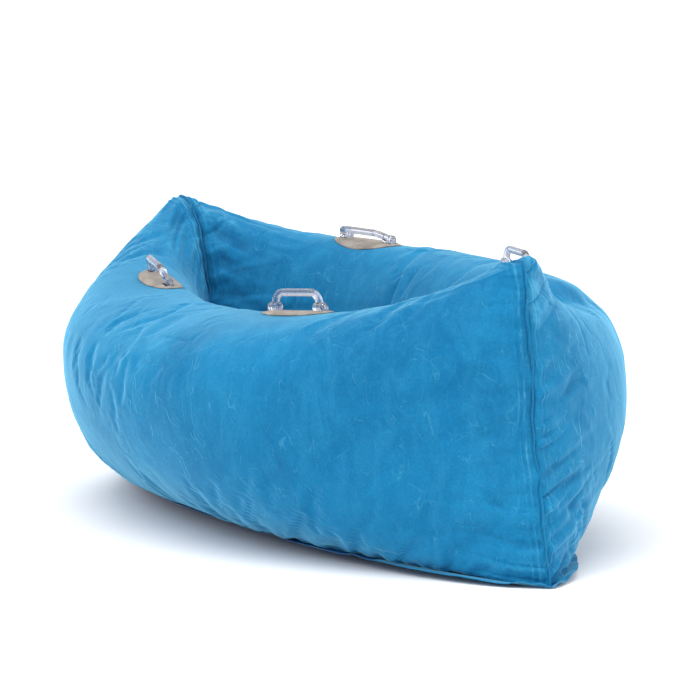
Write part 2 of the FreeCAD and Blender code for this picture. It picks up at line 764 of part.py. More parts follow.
# ---------------------------------------------------------------- check and write
doc.recompute()
for item in doc.Objects:
    bad = [word for word in item.State if word in ("Invalid", "Error")]
    if bad:
        raise RuntimeError("%s is %s" % (item.Name, bad))
for name, item in parts.items():
    shape = item.Shape
    if shape.isNull() or not shape.isValid() or shape.Volume <= 0:
        raise RuntimeError("%s has no sound solid" % name)
    if len(shape.Solids) != 1:
        raise RuntimeError("%s has %d solids" % (name, len(shape.Solids)))
for name, item in parts.items():
    item.Shape.exportStep("parts/%s.step" % name)
    box = item.Shape.BoundBox
    print(
        "%-32s %10.0f mm3  x %7.1f %7.1f  y %7.1f %7.1f  z %7.1f %7.1f"
        % (name, item.Shape.Volume, box.XMin, box.XMax, box.YMin, box.YMax, box.ZMin, box.ZMax)
    )
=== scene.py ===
import math

import bmesh
import bpy
import numpy as np
from mathutils import Matrix, Vector


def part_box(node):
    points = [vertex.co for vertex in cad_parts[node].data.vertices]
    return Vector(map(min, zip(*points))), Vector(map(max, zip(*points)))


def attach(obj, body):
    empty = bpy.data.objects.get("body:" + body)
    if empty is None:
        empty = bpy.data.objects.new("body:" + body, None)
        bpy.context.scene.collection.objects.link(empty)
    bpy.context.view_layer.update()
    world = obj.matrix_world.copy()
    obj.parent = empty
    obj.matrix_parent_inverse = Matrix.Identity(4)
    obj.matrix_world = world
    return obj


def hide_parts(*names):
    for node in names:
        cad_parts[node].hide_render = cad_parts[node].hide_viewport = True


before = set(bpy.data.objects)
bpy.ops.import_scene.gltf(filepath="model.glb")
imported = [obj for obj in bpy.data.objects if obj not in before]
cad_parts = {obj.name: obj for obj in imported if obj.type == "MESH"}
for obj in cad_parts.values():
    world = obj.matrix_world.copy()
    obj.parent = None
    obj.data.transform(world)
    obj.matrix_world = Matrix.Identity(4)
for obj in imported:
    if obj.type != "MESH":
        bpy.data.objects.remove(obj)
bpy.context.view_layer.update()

# Inflatable pod chair, in metres: +X to the bow, +Y to port, +Z up, the floor at z = 0.

# ------------------------------------------------------------------ sizes
# The wall's shape follows the CAD panels; lengths and widths come from their boxes.
base_low, base_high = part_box("base_panel")
floor_low, floor_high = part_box("well_floor_panel")

FLANGE = 0.020
BASE_HALF_LENGTH = base_high[0] - FLANGE
BASE_HALF_WIDTH = base_high[1] - FLANGE
TIP_HALF_LENGTH = BASE_HALF_LENGTH - 0.102
TIP_ROUNDING = 0.020
BULGE_HALF_WIDTH = 0.413
CREST_HALF_WIDTH = 0.222
CREST_HEIGHT = 0.432
TIP_HEIGHT = 0.494
STARBOARD_SAG = 0.058
BULGE_LEVEL = 0.70
BASE_ANGLE = math.radians(68)
PLAN_FULLNESS = 2.4
PLAN_ROUNDING = 1.28
TIP_SHEER = 6.0
WELL_HALF_WIDTH = 0.112
WELL_HALF_LENGTH = 0.486
WELL_LEVEL = 0.52
FLOOR_HALF_WIDTH = 0.152
FLOOR_HALF_LENGTH = 0.516
FLOOR_HEIGHT = floor_high[2]
FLOOR_ANGLE = math.radians(62)
SEAM_EDGE = 0.0008
BASE_THICK = base_high[2]

BOW, STERN = 1, -1
PORT, STARBOARD = 1, -1
HANDLE_STATION = 0.425
HANDLES = {
    "port_fore": (PORT, BOW),
    "port_aft": (PORT, STERN),
    "starboard_fore": (STARBOARD, BOW),
    "starboard_aft": (STARBOARD, STERN),
}


# ------------------------------------------------------------------ smooth noise
def smooth_noise(points, scale, seed):
    """Smooth value noise from -1 to 1 at points, with cells of the given size."""
    table = np.random.RandomState(seed).uniform(-1, 1, 4096)
    cell = np.asarray(points, float) / scale + 64.0
    low = np.floor(cell).astype(np.int64)
    part = cell - low
    part = part * part * (3 - 2 * part)
    total = np.zeros(len(cell))
    for corner in range(2 ** cell.shape[1]):
        key = np.zeros(len(cell), np.int64)
        weight = np.ones(len(cell))
        for axis, prime in zip(range(cell.shape[1]), (73856093, 19349663, 83492791)):
            bit = corner >> axis & 1
            key ^= (low[:, axis] + bit) * prime
            weight *= part[:, axis] if bit else 1 - part[:, axis]
        total += weight * table[(key ^ key >> 13) & 4095]
    return total


def cloudy(points, scale, seed, octaves=3):
    """Noise with finer and fainter detail in each octave."""
    total = np.zeros(len(points))
    for octave in range(octaves):
        total += smooth_noise(points, scale / 2**octave, seed + octave) / 2**octave
    return total


def ridges(value, sharp):
    """Narrow crests where value crosses zero."""
    return np.exp(-((value / sharp) ** 2))


def bell(value, centre, width):
    """Smooth bump, 1 at its centre and a third of that one width away."""
    return np.exp(-(((value - centre) / width) ** 2))


def ramp(value, low, high):
    """Smooth step from 0 at low to 1 at high."""
    share = np.clip((value - low) / (high - low), 0, 1)
    return share * share * (3 - 2 * share)


# ------------------------------------------------------------------ the wall's shape
def mix(first, last, share):
    return first + (last - first) * share


def plan_width(c):
    """Share of the full half width at each station, 1 at the middle and 0 at the ends."""
    return np.clip(1 - np.abs(c) ** PLAN_FULLNESS, 0, 1) ** (1 / PLAN_ROUNDING)


def rim_height(side, c):
    """Height of the crest, which climbs to the tips and sags on the starboard side."""
    climb = (TIP_HEIGHT - CREST_HEIGHT) * np.abs(c) ** TIP_SHEER
    sag = STARBOARD_SAG * (1 - c * c) if side == STARBOARD else 0
    return CREST_HEIGHT + climb - sag


def wall(side, theta, turn):
    """Points of the skin.  theta is 0 at the bow seam and pi at the stern seam; turn is
    0 at the base weld, 1 on the crest and 2 at the well floor."""
    c = np.cos(theta)
    top = rim_height(side, c)
    outer_angle = mix(-BASE_ANGLE, math.pi / 2, np.minimum(turn, 1))
    level = BULGE_LEVEL * top
    below = outer_angle < 0
    share = (1 - np.cos(outer_angle)) / (1 - math.cos(BASE_ANGLE))
    drop = -np.sin(outer_angle) / math.sin(BASE_ANGLE)
    height = np.where(below, mix(level, BASE_THICK, drop), mix(level, top, np.sin(outer_angle)))
    to_crest = mix(BULGE_HALF_WIDTH, CREST_HALF_WIDTH, 1 - np.cos(outer_angle))
    half_width = np.where(below, mix(BULGE_HALF_WIDTH, BASE_HALF_WIDTH, share), to_crest)
    half_length = mix(BASE_HALF_LENGTH, TIP_HALF_LENGTH + TIP_ROUNDING, height / top)
    half_length -= np.where(below, 0, TIP_ROUNDING * (1 - np.cos(outer_angle)) ** 2)

    inner_angle = mix(math.pi / 2, -FLOOR_ANGLE, np.maximum(turn, 1) - 1)
    level = WELL_LEVEL * top
    above = inner_angle > 0
    share = 1 - np.cos(inner_angle)
    low_share = share / (1 - math.cos(FLOOR_ANGLE))
    drop = -np.sin(inner_angle) / math.sin(FLOOR_ANGLE)
    well_height = np.where(above, mix(level, top, np.sin(inner_angle)), mix(level, FLOOR_HEIGHT, drop))
    well_width = np.where(
        above,
        mix(WELL_HALF_WIDTH, CREST_HALF_WIDTH, share),
        mix(WELL_HALF_WIDTH, FLOOR_HALF_WIDTH, low_share),
    )
    well_length = np.where(
        above,
        mix(WELL_HALF_LENGTH, TIP_HALF_LENGTH, share),
        mix(WELL_HALF_LENGTH, FLOOR_HALF_LENGTH, low_share),
    )
    inside = turn > 1
    half_length = np.where(inside, well_length, half_length)
    half_width = np.where(inside, well_width, half_width)
    height = np.where(inside, well_height, height)
    return np.stack(
        [half_length * c, side * (SEAM_EDGE + half_width * plan_width(c)), height], -1
    )


def wall_normal(side, theta, turn):
    """Unit vectors out of the air chamber."""
    step = 0.004
    theta = np.clip(theta, 0.02, math.pi - 0.02)
    along = wall(side, theta + step, turn) - wall(side, theta - step, turn)
    around = wall(side, theta, np.minimum(turn + step, 2)) - wall(side, theta, np.maximum(turn - step, 0))
    normal = np.cross(along, around) * side
    return normal / np.linalg.norm(normal, axis=-1, keepdims=True)


def handle_frame(name):
    """Origin on the skin, with X along the rim, Y across it and Z out of the skin."""
    side, end = HANDLES[name]
    theta = np.array([math.acos(end * HANDLE_STATION)])
    turn = np.array([1.0])
    out = Vector(wall_normal(side, theta, turn)[0])
    along = Vector((wall(side, theta - 0.01, turn) - wall(side, theta + 0.01, turn))[0])
    along = (along - out * along.dot(out)).normalized()
    across = out.cross(along)
    turned = Matrix((along, across, out)).transposed().to_4x4()
    return Matrix.Translation(Vector(wall(side, theta, turn)[0])) @ turned


# ------------------------------------------------------------------ stations along a wall
SEAM_ZONE = 0.045


def even_thetas(side, count, closer):
    """Angles evenly spaced along the wall's plan, but closer together at the two seams."""
    fine = np.linspace(0, math.pi, 6001)
    points = wall(side, fine, np.full(fine.shape, 0.45))
    run = np.concatenate([[0], np.cumsum(np.linalg.norm(np.diff(points, axis=0), axis=1))])
    middle = (run[1:] + run[:-1]) / 2
    density = 1 + closer * np.exp(-((np.minimum(middle, run[-1] - middle) / SEAM_ZONE) ** 2))
    spent = np.concatenate([[0], np.cumsum(density * np.diff(run))])
    return np.interp(np.linspace(0, spent[-1], count), spent, fine)


def even_turns(first, last, count):
    fine = np.linspace(first, last, 2001)
    points = wall(PORT, np.full(fine.shape, math.pi / 2), fine)
    run = np.concatenate([[0], np.cumsum(np.linalg.norm(np.diff(points, axis=0), axis=1))])
    return np.interp(np.linspace(0, run[-1], count), run, fine)


# ------------------------------------------------------------------ mesh helpers
def mesh_object(name, points, faces):
    mesh = bpy.data.meshes.new(name)
    mesh.from_pydata([tuple(p) for p in points], [], faces)
    mesh.validate()
    item = bpy.data.objects.new(name, mesh)
    bpy.context.scene.collection.objects.link(item)
    mesh.polygons.foreach_set("use_smooth", [True] * len(mesh.polygons))
    return item


def grid_faces(rows, columns, start=0, flip=False):
    first = np.arange(rows - 1)[:, None] * columns + np.arange(columns - 1)[None, :] + start
    quads = np.stack([first, first + columns, first + columns + 1, first + 1], -1).reshape(-1, 4)
    return (quads[:, ::-1] if flip else quads).tolist()


# ------------------------------------------------------------------ inflated film
FILM_COLUMNS = 170
FILM_ROWS = 100
FILM_SLACK = 0.030
FILM_CAP = 0.006
FILM_FRAMES = 20


def blurred(grid, passes):
    """A grid of values smoothed along both of its directions."""
    for _ in range(passes):
        for axis in (0, 1):
            padded = np.concatenate(
                [grid.take([0], axis), grid, grid.take([-1], axis)], axis
            )
            count = grid.shape[axis]
            index = np.arange(count)
            grid = (
                padded.take(index, axis) + 2 * padded.take(index + 1, axis) + padded.take(index + 2, axis)
            ) / 4
    return grid


def inflated_film(side):
    """Cloth simulation of one wall: a film a little larger than the space between its
    welds is blown up, and puckers where the welds hold it.  Gives the height of the
    film over the plain wall at each station."""
    thetas = even_thetas(side, FILM_COLUMNS, 0.4)
    turns = even_turns(0, 2, FILM_ROWS)
    theta, turn = (a.ravel() for a in np.meshgrid(thetas, turns, indexing="ij"))
    points = wall(side, theta, turn)
    normal = wall_normal(side, theta, turn)
    start = points + normal * (0.0008 * smooth_noise(points, 0.03, 7 + side))[:, None]
    film = mesh_object("film", start, grid_faces(FILM_COLUMNS, FILM_ROWS, 0, side == STARBOARD))
    edge = (
        (theta <= thetas[0]) | (theta >= thetas[-1]) | (turn <= turns[0]) | (turn >= turns[-1])
    )
    held = film.vertex_groups.new(name="held")
    held.add([int(k) for k in np.nonzero(edge)[0]], 1.0, "REPLACE")
    cloth = film.modifiers.new("film", "CLOTH")
    setting = cloth.settings
    setting.quality = 6
    setting.mass = 0.25
    setting.tension_stiffness = 25
    setting.compression_stiffness = 25
    setting.shear_stiffness = 8
    setting.bending_stiffness = 0.08
    setting.vertex_group_mass = "held"
    setting.shrink_min = -FILM_SLACK
    setting.shrink_max = -FILM_SLACK
    setting.use_pressure = True
    setting.uniform_pressure_force = 4.0
    setting.effector_weights.gravity = 0
    cloth.collision_settings.use_collision = False
    scene = bpy.context.scene
    for step in range(1, FILM_FRAMES + 1):
        scene.frame_set(step)
    graph = bpy.context.evaluated_depsgraph_get()
    shaped = bpy.data.meshes.new_from_object(film.evaluated_get(graph))
    moved = np.empty(len(points) * 3)
    shaped.vertices.foreach_get("co", moved)
    scene.frame_set(1)
    rise = ((moved.reshape(-1, 3) - points) * normal).sum(1)
    bpy.data.objects.remove(film, do_unlink=True)
    bpy.data.meshes.remove(shaped)
    rise = rise.reshape(FILM_COLUMNS, FILM_ROWS)
    fine = rise - blurred(rise, 14)
    return thetas, turns, FILM_CAP * np.tanh(fine / FILM_CAP)


def cubic_weights(part):
    """Catmull-Rom weights of the four samples round a point."""
    return np.stack(
        [
            part * (-0.5 + part * (1 - 0.5 * part)),
            1 + part * part * (1.5 * part - 2.5),
            part * (0.5 + part * (2 - 1.5 * part)),
            part * part * (0.5 * part - 0.5),
        ]
    )


def film_height(side, theta, turn):
    """Height of the simulated film at any station."""
    thetas, turns, rise = films[side]
    u = np.interp(theta, thetas, np.arange(len(thetas)))
    v = np.interp(turn, turns, np.arange(len(turns)))
    u_low, v_low = np.floor(u).astype(int), np.floor(v).astype(int)
    u_weight, v_weight = cubic_weights(u - u_low), cubic_weights(v - v_low)
    total = np.zeros(len(theta))
    for a in range(4):
        row = np.clip(u_low + a - 1, 0, rise.shape[0] - 1)
        for b in range(4):
            column = np.clip(v_low + b - 1, 0, rise.shape[1] - 1)
            total += u_weight[a] * v_weight[b] * rise[row, column]
    return total


films = {side: inflated_film(side) for side in (PORT, STARBOARD)}


# ------------------------------------------------------------------ creases and dents
SEAM_DIP = {STARBOARD: 0.0035, PORT: 0.0080}
SEAM_DIP_WIDTH = {STARBOARD: 0.0090, PORT: 0.0060}
TAPE_HALF_WIDTH = {STARBOARD: 0.0135, PORT: 0.0115}
TAPE_RIDGE = {STARBOARD: 0.0036, PORT: 0.0016}
SEAM_SHADE = {STARBOARD: 0.0020, PORT: 0.0060}
PUCKER_SLOPE = {STARBOARD: 0.05, PORT: 0.42}
PUCKER_HEIGHT = {STARBOARD: 0.0036, PORT: 0.0075}
BASE_LIFT = 0.020
WEB_LEVELS = (0.3152, 0.1652)


def base_lift(c):
    """How far the welded edge of the base is held off the floor."""
    return BASE_LIFT * plan_width(c) ** 0.9


def seam_drift(height):
    """Sideways wander of the bow and stern seams."""
    z = np.asarray(height, float)
    sway = 0.0022 * np.sin(z * 13 + 0.6) + 0.0018 * np.sin(z * 41 + 1.1) + 0.0009 * np.sin(z * 117)
    return sway - 0.0070 * bell(z, 0.19, 0.10)


def relief(side, theta, turn):
    """Height over the plain wall, along its normal: the broad dents, the creases, and a painted
    highlight on the crease ridges with painted shade in their hollows and along the seam."""
    points = wall(side, theta, turn)
    c = np.cos(theta)
    away = np.abs(points[:, 1])
    end = np.where(c > 0, 1.0, -1.0)

    # the whole wall is a little uneven, and the port shoulder slopes more at the bow
    broad = 0.0026 * smooth_noise(points, 0.22, 11 + side)
    broad += 0.0010 * smooth_noise(points, 0.085, 21 + side)
    broad *= 0.35 + 0.65 * ramp(away, 0.0, 0.05)
    if side == PORT:
        at_bow = bell(c, 0.74, 0.26)
        broad -= 0.028 * at_bow * bell(turn, 0.80, 0.15)
        broad += 0.016 * at_bow * bell(turn, 0.33, 0.13)
        broad -= 0.015 * bell(c, 0.66, 0.18) * bell(turn, 0.92, 0.11)
        beside_tip = ramp(away, 0.0, 0.03) * bell(away, 0, 0.085) * (c > 0)
        broad += 0.020 * beside_tip * bell(turn, 0.97, 0.15)

    # ends: the two films are pulled into the seam, with a tape ridge beside it
    broad -= SEAM_DIP[side] * bell(away, 0, SEAM_DIP_WIDTH[side])
    film = film_height(side, theta, turn) * (0.45 + 0.55 * ramp(away, 0.02, 0.16))
    fine = np.zeros(len(theta))
    wander = np.stack([points[:, 2], end, end], -1)
    ridge_at = TAPE_HALF_WIDTH[side] + 0.0018 * smooth_noise(wander, 0.11, 33)
    ridge_share = np.where(c > 0, 1.0, 0.8) * (0.8 + 0.3 * smooth_noise(points, 0.06, 31 + side))
    ridge = TAPE_RIDGE[side] * ridge_share * bell(away, ridge_at, 0.0021)
    ridge += 0.4 * TAPE_RIDGE[side] * bell(away, ridge_at + 0.0085, 0.0018)

    # puckers that run out of the seam
    fan = points[:, 2] - PUCKER_SLOPE[side] * away + 0.004 * smooth_noise(points, 0.05, 39)
    seam_axis = np.stack([fan, away * 0.16, end * 0.3], -1)
    pucker = smooth_noise(seam_axis, 0.0125, 41 + side) + 0.8 * smooth_noise(seam_axis, 0.024, 47 + side)
    valley = ridges(smooth_noise(seam_axis, 0.021, 57 + side), 0.15)
    pucker -= 0.8 * valley
    strength = 0.40 + 0.75 * ramp(-points[:, 2], -0.27, -0.08) + 0.10 * ramp(points[:, 2], 0.4, 0.5)
    reach = 0.050 + 0.040 * (1 + smooth_noise(seam_axis, 0.05, 53))
    spread = np.exp(-((away / reach) ** 1.5)) * ramp(away, 0.0, 0.012)
    folds = PUCKER_HEIGHT[side] * strength * spread

    # gathers along the base weld
    low = np.exp(-np.maximum(turn, 0) / 0.085) * (turn < 1)
    hem = np.stack([points[:, 0], points[:, 1] * 0.4, points[:, 2] * 0.25], -1)
    fine += 0.0022 * low * smooth_noise(hem, 0.030, 61 + side)
    fine += 0.0013 * low * smooth_noise(hem, 0.014, 67 + side)

    # folds that fan out of the tips where the two rims come together
    near_tip = bell(np.abs(points[:, 0]), TIP_HALF_LENGTH, 0.18)
    inside = ramp(turn, 0.98, 1.12) * (1 - 0.6 * ramp(turn, 1.5, 1.8))
    across = turn * 0.42 + 0.06 * np.abs(points[:, 0])
    fan_axis = np.stack([across, np.abs(points[:, 0]) * 0.16, end], -1)
    fold = smooth_noise(fan_axis, 0.022, 71 + side) + 0.6 * smooth_noise(fan_axis, 0.011, 73 + side)
    fine += 0.0080 * near_tip * inside * fold * ramp(away, 0.004, 0.03)
    outside = ramp(turn, 0.72, 0.9) * (1 - inside) * (turn < 1.05)
    fine += 0.0013 * near_tip * outside * fold * ramp(away, 0.004, 0.03)

    # soft short folds that hang from the crest towards the stern and over the bulge
    drape = np.stack([points[:, 0] + 0.35 * points[:, 2], points[:, 2] * 0.20, points[:, 1] * 0.3], -1)
    hang = smooth_noise(drape, 0.030, 83 + side) * ramp(cloudy(points, 0.19, 84 + side), 0.0, 0.6)
    fine += 0.0032 * hang * ramp(turn, 0.25, 0.6) * (turn < 1.02)

    # sharp little crinkles in patches
    patch = ramp(cloudy(points, 0.15, 81 + side), 0.05, 0.6)
    for scale, sharp, height, seed in ((0.055, 0.09, 0.0011, 91), (0.034, 0.11, 0.0007, 95)):
        fine -= height * patch * ridges(smooth_noise(points, scale, seed + side), sharp)
    # painted shade: the colour is darkened along the seam crease
    crease = SEAM_SHADE[side] * bell(away, 0, 0.0028)
    # colour only: painted highlight on crease and tape ridges, painted shade in pucker valleys and along the
    # seam
    painted_shading = 0.8 * fine + 0.9 * ridge + folds * (0.22 * pucker - 0.35 * valley) - crease
    return broad + film, fine + ridge + folds * pucker, painted_shading


def calm_round_handles(side, points, depth):
    """The rim is smooth under the handle patches."""
    for name, (at_side, _) in HANDLES.items():
        if at_side != side:
            continue
        spot = handle_frame(name).translation
        gap = np.linalg.norm(points - np.array(spot), axis=1)
        keep = ramp(gap, 0.096, 0.16)
        depth = depth * keep - 0.0002 * (1 - keep)
    return depth


def skin_points(side, theta, turn):
    """Points of the film, and the painted highlight and shade of its fine creases, from -1 to 1."""
    points = wall(side, theta, turn)
    normal = wall_normal(side, theta, turn)
    # crest is the painted highlight and shade of the creases, not a shape
    broad, fine, crest = relief(side, theta, turn)
    depth = calm_round_handles(side, points, broad + fine)
    for level in WEB_LEVELS:
        near = bell(points[:, 2], level, 0.012)
        depth = mix(depth, np.maximum(depth, 0.0008), near)
    c = np.cos(theta)
    near_seam = np.exp(-np.abs(points[:, 1]) / 0.05)
    flat = ramp(np.abs(points[:, 1]), 0.0, 0.006)[:, None]
    in_plane = normal.copy()
    in_plane[:, 1] = 0
    in_plane /= np.linalg.norm(in_plane, axis=1, keepdims=True)
    moved = points + (normal * flat + in_plane * (1 - flat)) * depth[:, None]
    moved[:, 1] += seam_drift(points[:, 2]) * near_seam
    lift = base_lift(c) * np.clip(1 - turn / 0.30, 0, 1) ** 2
    moved[:, 2] += np.where(turn < 1, lift, 0)
    return moved, np.clip(crest / 0.0025, -1, 1)


# ------------------------------------------------------------------ thin skins
def skin_sheet(name, side, thetas, turns):
    """Film over the given stations, with the painted highlight and shade of its creases kept for the
    material.
    """
    theta, turn = (a.ravel() for a in np.meshgrid(thetas, turns, indexing="ij"))
    points, fine = skin_points(side, theta, turn)
    faces = grid_faces(len(thetas), len(turns), 0, side == STARBOARD)
    item = mesh_object(name, points, faces)
    # the crest attribute holds painted highlight on crease ridges and painted shade in crease hollows
    crest = item.data.attributes.new("crest", "FLOAT", "POINT")
    crest.data.foreach_set("value", fine.astype(np.float32))
    return item


# ------------------------------------------------------------------ materials
# The deepest blue is painted shade in crease hollows; the palest is the pale of worn fold marks and also a
# painted highlight on crease ridges.
FLOCK_PAINTED_SHADE = (0.002, 0.050, 0.150, 1)
FLOCK_DARK = (0.003, 0.125, 0.285, 1)
FLOCK_MID = (0.005, 0.172, 0.360, 1)
FLOCK_LIGHT = (0.018, 0.250, 0.460, 1)
FLOCK_PALE_WEAR_AND_HIGHLIGHT = (0.110, 0.450, 0.660, 1)


def node(tree, kind, **values):
    item = tree.nodes.new(kind)
    for key, value in values.items():
        if key in item.inputs.keys():
            item.inputs[key].default_value = value
        else:
            setattr(item, key, value)
    return item


def new_material(name):
    material = bpy.data.materials.new(name)
    material.use_nodes = True
    tree = material.node_tree
    shader = tree.nodes["Principled BSDF"]
    return material, tree, shader


def noise(tree, coords, scale, detail=3.0, rough=0.55, distortion=0.0):
    item = node(tree, "ShaderNodeTexNoise", Scale=scale, Detail=detail, Roughness=rough)
    item.inputs["Distortion"].default_value = distortion
    tree.links.new(coords, item.inputs["Vector"])
    return item.outputs["Fac"]


def spread(tree, value, low, high, to_low=0.0, to_high=1.0):
    item = node(tree, "ShaderNodeMapRange", interpolation_type="SMOOTHSTEP")
    tree.links.new(value, item.inputs["Value"])
    for key, number in zip(("From Min", "From Max", "To Min", "To Max"), (low, high, to_low, to_high)):
        item.inputs[key].default_value = number
    return item.outputs["Result"]


def maths(tree, operation, first, second=None):
    item = node(tree, "ShaderNodeMath", operation=operation)
    for index, value in enumerate((first, second)):
        if value is None:
            continue
        if isinstance(value, (int, float)):
            item.inputs[index].default_value = value
        else:
            tree.links.new(value, item.inputs[index])
    return item.outputs["Value"]


def blend_colour(tree, share, first, second, mode="MIX"):
    item = node(tree, "ShaderNodeMix", data_type="RGBA", blend_type=mode)
    for index, value in ((0, share), (6, first), (7, second)):
        if isinstance(value, (tuple, list, float, int)):
            item.inputs[index].default_value = value
        else:
            tree.links.new(value, item.inputs[index])
    return item.outputs[2]


def stretched(tree, coords, scale, turned=(0, 0, 0), shift=(0, 0, 0)):
    item = node(tree, "ShaderNodeMapping", Scale=scale, Rotation=turned, Location=shift)
    tree.links.new(coords, item.inputs["Vector"])
    return item.outputs["Vector"]


def crumple_lines(tree, coords, scale, width, shift, low, high):
    """Thin broken straight lines, like the pale marks that folds leave in flock."""
    moved = stretched(tree, coords, (1, 1, 1), shift=shift)
    bend = node(tree, "ShaderNodeTexNoise", Scale=scale * 0.8, Detail=3.0)
    tree.links.new(moved, bend.inputs["Vector"])
    push = node(tree, "ShaderNodeMix", data_type="VECTOR")
    push.inputs[0].default_value = 0.045
    tree.links.new(moved, push.inputs[4])
    tree.links.new(bend.outputs["Color"], push.inputs[5])
    cells = node(tree, "ShaderNodeTexVoronoi", feature="DISTANCE_TO_EDGE", Scale=scale)
    tree.links.new(push.outputs[1], cells.inputs["Vector"])
    line = spread(tree, cells.outputs["Distance"], 0.0, width, 1.0, 0.0)
    keep = spread(tree, noise(tree, moved, scale * 1.15, 2.0), low, high)
    return maths(tree, "MULTIPLY", line, keep)


def contour_lines(tree, coords, scale, width, low, high):
    """Short curved hair lines where a smooth field crosses its middle."""
    field = noise(tree, coords, scale, 1.5, 0.5, 0.8)
    away = maths(tree, "ABSOLUTE", maths(tree, "SUBTRACT", field, 0.5))
    line = spread(tree, away, 0.0, width, 1.0, 0.0)
    keep = spread(tree, noise(tree, coords, scale * 1.9, 1.0), low, high)
    return maths(tree, "MULTIPLY", line, keep)


def flock_material():
    """Short velvet pile on vinyl: azure, cloudy where the nap lies over, pale on old folds, with a painted
    highlight on crease ridges and painted shade in crease hollows and along the seams.
    """
    material, tree, shader = new_material("azure_flock")
    coords = node(tree, "ShaderNodeTexCoord").outputs["Object"]
    clouds = spread(tree, noise(tree, coords, 4.6, 5.0, 0.62, 0.7), 0.30, 0.72)
    leaning = stretched(tree, coords, (10, 10, 3.4), (0.3, 0.5, 0.2))
    nap = spread(tree, noise(tree, leaning, 2.2, 6.0, 0.66, 1.4), 0.36, 0.70)
    crossing = stretched(tree, coords, (4, 14, 14), (0.2, 0.7, 0.4))
    smears = spread(tree, noise(tree, crossing, 2.6, 6.0, 0.68, 0.9), 0.50, 0.74)
    base = blend_colour(tree, clouds, FLOCK_DARK, FLOCK_MID)
    base = blend_colour(tree, maths(tree, "MULTIPLY", nap, 0.26), base, FLOCK_LIGHT)
    base = blend_colour(tree, maths(tree, "MULTIPLY", smears, 0.20), base, FLOCK_LIGHT)
    marks = maths(
        tree, "MAXIMUM",
        crumple_lines(tree, coords, 17.0, 0.018, (0.31, 0.12, 0.55), 0.59, 0.68),
        crumple_lines(tree, coords, 30.0, 0.028, (1.70, 0.60, 0.20), 0.57, 0.66),
    )
    marks = maths(tree, "MAXIMUM", marks, contour_lines(tree, coords, 9.0, 0.006, 0.58, 0.66))
    marks = maths(tree, "MAXIMUM", marks, contour_lines(tree, leaning, 2.6, 0.009, 0.56, 0.64))
    base = blend_colour(tree, maths(tree, "MULTIPLY", marks, 0.19), base, FLOCK_PALE_WEAR_AND_HIGHLIGHT)
    # Painted highlight on crease ridges and painted shade in crease hollows and along the seams, from the
    # crest attribute.
    crest = node(tree, "ShaderNodeAttribute", attribute_name="crest").outputs["Fac"]
    broken = spread(tree, noise(tree, coords, 34.0, 3.0), 0.38, 0.62)
    painted_ridge_highlight = maths(tree, "MULTIPLY", spread(tree, crest, 0.12, 0.85), broken)
    base = blend_colour(tree, maths(tree, "MULTIPLY", painted_ridge_highlight, 0.30), base, FLOCK_PALE_WEAR_AND_HIGHLIGHT)
    base = blend_colour(tree, spread(tree, crest, -0.95, -0.20, 0.30, 0.0), base, FLOCK_PAINTED_SHADE)
    specks = spread(tree, noise(tree, coords, 260.0, 2.0), 0.30, 0.72, 0.91, 1.07)
    tinted = node(tree, "ShaderNodeVectorMath", operation="SCALE")
    tree.links.new(base, tinted.inputs[0])
    tree.links.new(specks, tinted.inputs["Scale"])
    tree.links.new(tinted.outputs["Vector"], shader.inputs["Base Color"])
    tree.links.new(spread(tree, nap, 0, 1, 0.82, 0.66), shader.inputs["Roughness"])
    shader.inputs["Specular IOR Level"].default_value = 0.12
    shader.inputs["Sheen Weight"].default_value = 0.95
    shader.inputs["Sheen Roughness"].default_value = 0.36
    shader.inputs["Sheen Tint"].default_value = (0.27, 0.72, 1.0, 1)
    height = maths(tree, "MULTIPLY", marks, 0.8)
    height = maths(tree, "ADD", height, maths(tree, "MULTIPLY", noise(tree, coords, 26.0, 5.0, 0.62), 1.5))
    height = maths(tree, "ADD", height, maths(tree, "MULTIPLY", noise(tree, coords, 620.0, 2.0), 0.22))
    bump = node(tree, "ShaderNodeBump", Strength=0.42, Distance=0.0020)
    tree.links.new(height, bump.inputs["Height"])
    tree.links.new(bump.outputs["Normal"], shader.inputs["Normal"])
    return material


def film_material():
    """Plain vinyl film of the base: darker, partly its own colour and partly painted shade for the shaded
    underside, with a soft shine and fine wrinkles.
    """
    material, tree, shader = new_material("base_film")
    coords = node(tree, "ShaderNodeTexCoord").outputs["Object"]
    clouds = spread(tree, noise(tree, coords, 9.0, 4.0), 0.3, 0.7)
    base = blend_colour(tree, clouds, (0.006, 0.085, 0.235, 1), (0.010, 0.120, 0.300, 1))
    tree.links.new(base, shader.inputs["Base Color"])
    tree.links.new(spread(tree, noise(tree, coords, 30.0), 0.3, 0.7, 0.36, 0.5), shader.inputs["Roughness"])
    bump = node(tree, "ShaderNodeBump", Strength=0.4, Distance=0.0015)
    tree.links.new(noise(tree, coords, 40.0, 4.0), bump.inputs["Height"])
    tree.links.new(bump.outputs["Normal"], shader.inputs["Normal"])
    return material


def clear_material():
    """Clear moulded vinyl with a faint lavender tint and flow lines."""
    material, tree, shader = new_material("clear_vinyl")
    coords = node(tree, "ShaderNodeTexCoord").outputs["Object"]
    flow = noise(tree, stretched(tree, coords, (40, 160, 160)), 1.0, 3.0)
    base = blend_colour(tree, flow, (0.58, 0.60, 0.72, 1), (0.80, 0.82, 0.89, 1))
    tree.links.new(base, shader.inputs["Base Color"])
    tree.links.new(spread(tree, flow, 0.3, 0.7, 0.06, 0.16), shader.inputs["Roughness"])
    shader.inputs["IOR"].default_value = 1.53
    shader.inputs["Transmission Weight"].default_value = 0.94
    shader.inputs["Coat Weight"].default_value = 0.3
    bump = node(tree, "ShaderNodeBump", Strength=0.25, Distance=0.0008)
    tree.links.new(noise(tree, coords, 130.0, 2.0), bump.inputs["Height"])
    tree.links.new(bump.outputs["Normal"], shader.inputs["Normal"])
    return material


